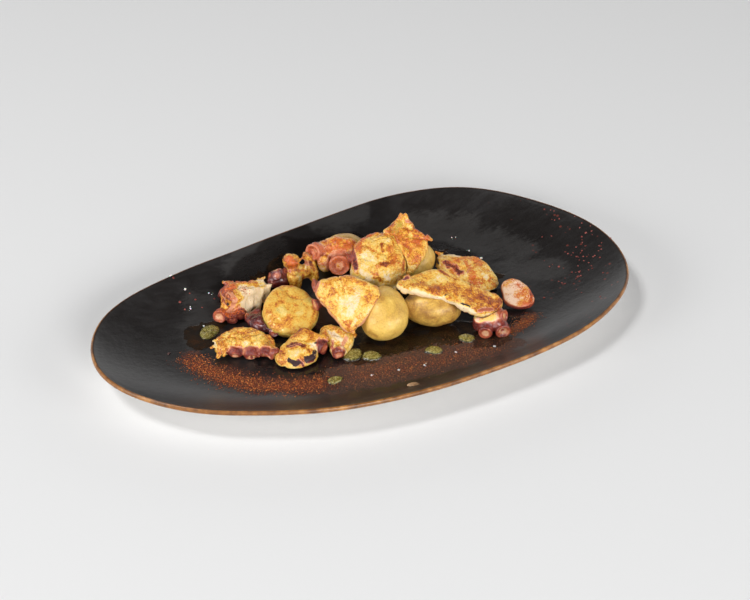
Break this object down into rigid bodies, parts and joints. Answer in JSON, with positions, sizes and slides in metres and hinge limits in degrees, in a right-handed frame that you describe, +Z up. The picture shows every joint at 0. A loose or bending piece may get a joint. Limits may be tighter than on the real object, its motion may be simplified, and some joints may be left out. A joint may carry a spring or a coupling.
{
  "type": "plated octopus dish",
  "caption": "Sliced seared octopus and waxy baby potatoes with paprika, piled in the middle of a dark oval coupe plate with a brown rim.",
  "frame": {"origin": "on the table, under the middle of the plate's bounding box", "axes": "+X along the plate's length, +Z up; the food's cut faces look towards -Y"},
  "size_m": [0.373, 0.217, 0.049],
  "materials": {
    "plate_glaze": "satin, near-black charcoal glaze that breaks to golden brown along the rim",
    "potato_skin": null,
    "potato_flesh": "satin, moist cut potato, golden with pale patches",
    "octopus_seared": "satin, moist flesh seared golden brown over white, with purple skin at the edges",
    "octopus_paprika": "satin, moist flesh under orange-red paprika",
    "octopus_skin": "gloss, dark purple skin with pink-centred suckers"
  },
  "bodies": {
    "root": {"plate": "plate_glaze", "potato_whole": "potato_skin", "potato_back": "potato_skin", "potato_middle": "potato_skin", "potato_half": "potato_skin", "potato_slice": "potato_flesh", "octopus_arm_left": "octopus_seared", "octopus_arm_tip": "octopus_seared", "octopus_slab_long": "octopus_seared", "octopus_slice_right": "octopus_seared", "octopus_front_middle": "octopus_seared", "octopus_slice_front": "octopus_seared", "octopus_slice_upper": "octopus_seared", "octopus_slice_back": "octopus_seared", "octopus_arm_front_left": "octopus_seared", "octopus_arm_front": "octopus_seared", "octopus_arm_back": "octopus_paprika", "octopus_disc_right": "octopus_paprika", "octopus_suckers_back": "octopus_skin", "octopus_suckers_under": "octopus_skin", "octopus_suckers_right": "octopus_skin"}
  },
  "joints": []
}
